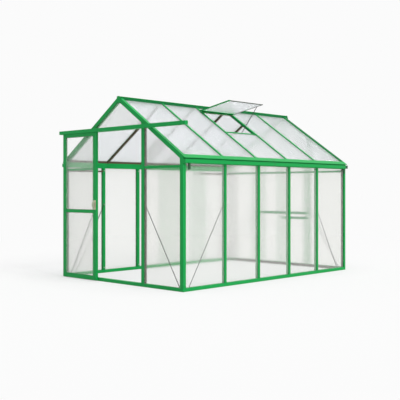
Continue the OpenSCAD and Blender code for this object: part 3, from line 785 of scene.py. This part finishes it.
low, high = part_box("door_handle")
handle = bmesh.new()
plate_face = high[1] - PLATE_DEPTH
block(handle, (low[0], plate_face, low[2]), high, 1)
centre = (low[0] + high[0]) / 2
bow = []
for step in range(GRIP_STEPS + 1):
    share = step / GRIP_STEPS
    height = low[2] + GRIP_FROM_END + share * (high[2] - low[2] - 2 * GRIP_FROM_END)
    stands_off = (plate_face - GRIP_DEPTH - low[1]) * math.sin(math.pi * share) ** GRIP_FULLNESS
    front = plate_face + GRIP_SUNK - GRIP_DEPTH - stands_off
    bow.append([
        handle.verts.new((centre + half * GRIP_WIDTH / 2, front + depth * GRIP_DEPTH, height))
        for half, depth in ((-1, 0), (1, 0), (1, 1), (-1, 1))
    ])
for ring, following in zip(bow, bow[1:], strict=False):
    for this, other in ((0, 1), (1, 2), (2, 3), (3, 0)):
        handle.faces.new((ring[this], ring[other], following[other], following[this]))
handle.faces.new(bow[0][::-1])
handle.faces.new(bow[-1])
bmesh.ops.recalc_face_normals(handle, faces=handle.faces)
put(rounded("door_pull", handle, GRIP_EDGE), "door_handle", "door", "handle", handle_plastic, plate_plastic)


# ---- Bolts and screws -------------------------------------------------------------------------
# Zinc-plated hexagon bolts on washers hold the studs, posts, jambs and braces from inside. Low
# round screws, coated with the frame, hold the door's joints, the track, the plates and the corners.

BOLT = {
    "Sides": 6, "Head width": 11 * MM, "Head height": 4.2 * MM,
    "Washer width": 15 * MM, "Washer depth": 1.2 * MM,
}
SCREW = {
    "Sides": 14, "Head width": 8.5 * MM, "Head height": 1.9 * MM,
    "Washer width": 10 * MM, "Washer depth": 0.5 * MM,
}
STRIP_BOLT_IN = 16 * MM
HALF_STRIP = 1.5 * MM
POST_BOLTS = {
    "studs_left": (X, 30 * MM, 30 * MM), "studs_right": (-X, 30 * MM, 30 * MM),
    "door_jambs": (Y, 30 * MM, 70 * MM), "rear_posts": (-Y, 30 * MM, 70 * MM),
}
TRACK_SCREWS = 7
TRACK_SCREW_IN = 60 * MM
PLATE_SCREWS = ((-30 * MM, 14 * MM), (30 * MM, 14 * MM), (-14 * MM, 46 * MM), (14 * MM, 46 * MM))
CORNER_SCREW_UP = 22 * MM
CORNER_SCREW_DOWN = 40 * MM
SIDE_SCREW_IN = 21 * MM
GABLE_SCREW_IN = 26 * MM
RAIL_SCREW_ASIDE = 11 * MM

fastener = Growth("fastener", {
    "Sides": "Int", "Head width": "Float", "Head height": "Float", "Washer width": "Float", "Washer depth": "Float",
})
washer_depth = fastener.given("Washer depth")
head_height = fastener.given("Head height")
washer = fastener.node("GeometryNodeMeshCylinder", sockets={
    "Vertices": 18, "Radius": 0.5 * fastener.given("Washer width"), "Depth": washer_depth,
})
washer_up = fastener.node("ShaderNodeCombineXYZ", sockets={"Z": 0.5 * washer_depth})
washer = fastener.node("GeometryNodeTransform", sockets={"Geometry": washer, "Translation": washer_up})
head = fastener.node("GeometryNodeMeshCylinder", sockets={
    "Vertices": fastener.given("Sides"), "Radius": 0.5 * fastener.given("Head width"), "Depth": head_height,
})
head_up = fastener.node("ShaderNodeCombineXYZ", sockets={"Z": washer_depth + 0.5 * head_height})
head = fastener.node("GeometryNodeTransform", sockets={"Geometry": head, "Translation": head_up})
joined = fastener.node("GeometryNodeJoinGeometry", sockets=(head,))
fastener.tree.links.new(washer.socket, joined.socket.node.inputs[0])
facing = fastener.node("GeometryNodeInputNamedAttribute", {"data_type": "FLOAT_VECTOR"}, {"Name": "facing"})
turned = fastener.node("FunctionNodeAlignRotationToVector", {"axis": "Z"}, {"Vector": facing})
fastener.done(fastener.node("GeometryNodeInstanceOnPoints", sockets={
    "Points": fastener.given("Geometry"), "Instance": joined, "Rotation": turned,
}))


def fasten(name, places, sizes, finish, body):
    """One mesh of equal bolts or screws. Each place is a point and the way that the head faces."""
    points = bpy.data.meshes.new(name)
    points.from_pydata([point for point, way in places], [], [])
    ways = points.attributes.new("facing", "FLOAT_VECTOR", "POINT")
    ways.data.foreach_set("vector", [part for point, way in places for part in way])
    heads = fastener.grow(bpy.data.objects.new(name, points), {**sizes, "Finish": finish})
    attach(heads, body)


def on_face(corners, way, height):
    """The place at a height on the side of a bar that looks along X or Y, midway across it."""
    place = sum(span(corners, X)) / 2 * X + sum(span(corners, Y)) / 2 * Y + height * Z
    return place + (span(corners, way)[1] - place.dot(way)) * way


zinc = rolled_metal("zinc_plate", colour=(0.50, 0.51, 0.52, 1), roughness=0.30)
bolts = []
for node, way in (("braces_left", X), ("braces_right", -X), ("braces_front", Y), ("braces_rear", -Y)):
    for strip in solids(node):
        corners = sorted((fitted(node, corner) for corner in strip), key=lambda corner: corner.z)
        foot = middle(corners[:4])
        top = middle(corners[4:])
        inwards = STRIP_BOLT_IN * (top - foot).normalized()
        for end in (foot + inwards, top - inwards):
            bolts.append((end + HALF_STRIP * way, way))
for node, (way, from_foot, from_head) in POST_BOLTS.items():
    for post in solids(node):
        foot, head = span(post, Z)
        for height in (foot + from_foot, head - from_head):
            bolts.append((on_face(post, way, height), way))
fasten("frame_bolts", bolts, BOLT, zinc, "house")

screws = []
low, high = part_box("door_track")
for step in range(TRACK_SCREWS):
    share = step / (TRACK_SCREWS - 1)
    spot = low[0] + TRACK_SCREW_IN + share * (high[0] - low[0] - 2 * TRACK_SCREW_IN)
    screws.append(((spot, low[1], (low[2] + high[2]) / 2), -Y))
plate = min(solids("ridge_plates"), key=lambda corners: middle(corners).y)
foot = span(plate, Z)[0]
for beside, up in PLATE_SCREWS:
    screws.append((on_face(plate, -Y, foot + up) + beside * X, -Y))
for post in solids("corner_posts"):
    out_x = math.copysign(1, middle(post).x) * X
    out_y = math.copysign(1, middle(post).y) * Y
    edge = span(post, out_x)[1] * out_x + span(post, out_y)[1] * out_y
    foot, head = span(post, Z)
    for height in (foot + CORNER_SCREW_UP, head - CORNER_SCREW_DOWN):
        screws.append((edge - SIDE_SCREW_IN * out_y + height * Z, out_x))
        screws.append((edge - GABLE_SCREW_IN * out_x + height * Z, out_y))
fasten("frame_screws", screws + leaf_screws, SCREW, green_coat, "house")

screws = []
low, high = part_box("door_frame")
for stile in (low[0] + STILE / 2, high[0] - STILE / 2):
    for rail in (low[2] + FOOT_RAIL / 2, MIDDLE_RAIL_AT + MIDDLE_RAIL / 2, high[2] - TOP_RAIL / 2):
        for beside in (-RAIL_SCREW_ASIDE, RAIL_SCREW_ASIDE):
            screws.append(((stile, low[1], rail + beside), -Y))
fasten("door_screws", screws, SCREW, green_coat, "door")
